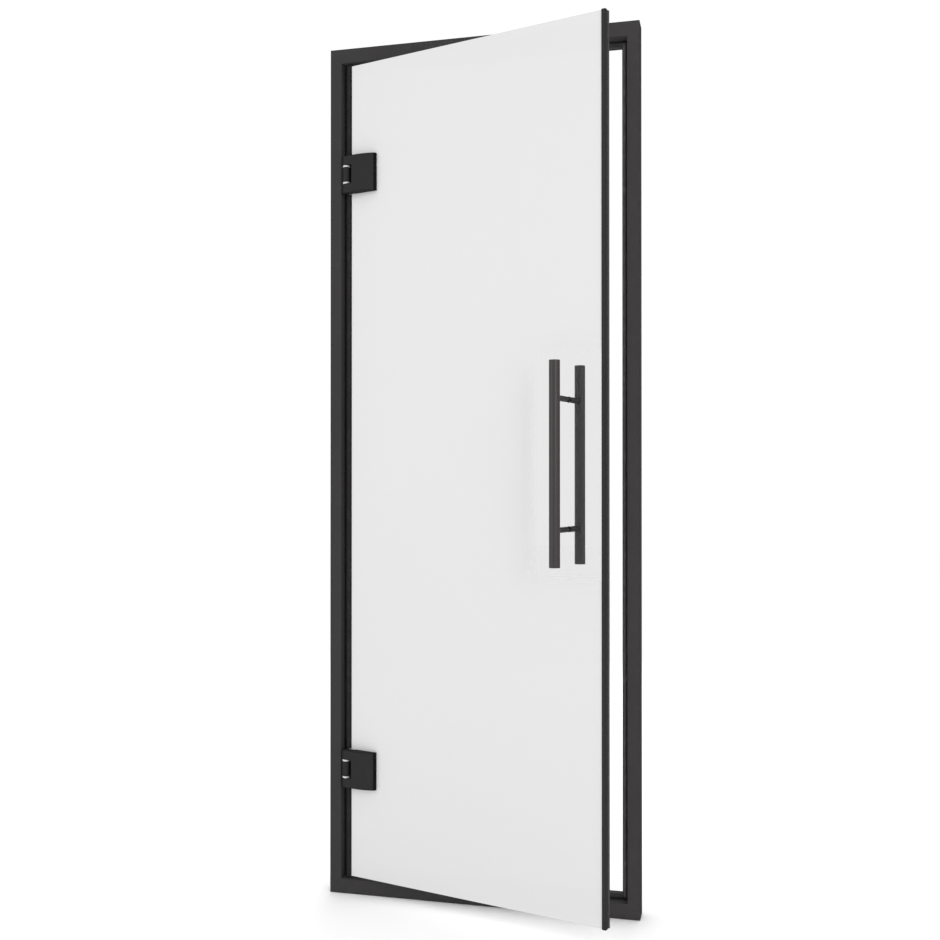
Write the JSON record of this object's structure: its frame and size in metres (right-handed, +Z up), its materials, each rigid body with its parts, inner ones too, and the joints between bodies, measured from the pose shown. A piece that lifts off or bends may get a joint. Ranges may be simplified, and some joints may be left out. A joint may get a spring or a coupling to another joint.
{
  "type": "steam room door",
  "caption": "Tall narrow framed glass door for a steam room, hinged on the left, with glass-clamp hinges and a pull bar on each face; shown slightly ajar.",
  "frame": {"origin": "bottom of the hinge jamb's wall face, at half the frame's depth", "axes": "+X from the hinge jamb to the latch jamb, +Y into the steam room, +Z up; the outside, where the leaf opens to, is -Y"},
  "size_m": [0.69, 0.2481, 1.89],
  "materials": {
    "black_edge_profile": "satin black powder coat",
    "black_frame_profile": "satin black powder coat",
    "black_handle_metal": "satin black with soft highlights",
    "black_hinge_metal": "satin black",
    "edge_seal_rubber": "matt black",
    "gasket_rubber": "matt black",
    "pale_bearing_washer": "smooth pale grey",
    "pale_grey_glass": "satin, nearly opaque pale grey",
    "steel_pin": "fine turned",
    "stop_seal_rubber": "matt black"
  },
  "bodies": {
    "frame": {"head_rail": "black_frame_profile", "head_rail_seal": "stop_seal_rubber", "hinge_jamb": "black_frame_profile", "hinge_jamb_seal": "stop_seal_rubber", "latch_jamb": "black_frame_profile", "latch_jamb_seal": "stop_seal_rubber", "lower_hinge_bracket": "black_hinge_metal", "threshold": "black_frame_profile", "threshold_seal": "stop_seal_rubber", "upper_hinge_bracket": "black_hinge_metal"},
    "leaf": {"free_edge_profile": "black_edge_profile", "glass_pane": "pale_grey_glass", "hinge_pins": "steel_pin", "hinge_washers": "pale_bearing_washer", "inner_bar_caps": "black_handle_metal", "inner_post_gaskets": "gasket_rubber", "inner_posts": "black_handle_metal", "inner_pull_bar": "black_handle_metal", "lower_hinge_edge_seal": "edge_seal_rubber", "lower_inner_clamp": "black_hinge_metal", "lower_inner_gasket": "gasket_rubber", "lower_outer_clamp": "black_hinge_metal", "lower_outer_gasket": "gasket_rubber", "middle_hinge_edge_seal": "edge_seal_rubber", "outer_bar_caps": "black_handle_metal", "outer_post_gaskets": "gasket_rubber", "outer_posts": "black_handle_metal", "outer_pull_bar": "black_handle_metal", "upper_hinge_edge_seal": "edge_seal_rubber", "upper_inner_clamp": "black_hinge_metal", "upper_inner_gasket": "gasket_rubber", "upper_outer_clamp": "black_hinge_metal", "upper_outer_gasket": "gasket_rubber"}
  },
  "joints": [
    {"name": "door_swing", "type": "hinge", "parent": "frame", "child": "leaf", "pos_m": [0.04, -0.0265, 0], "axis": [0, 0, -1], "range_deg": [-15.6, 94.4]}
  ]
}
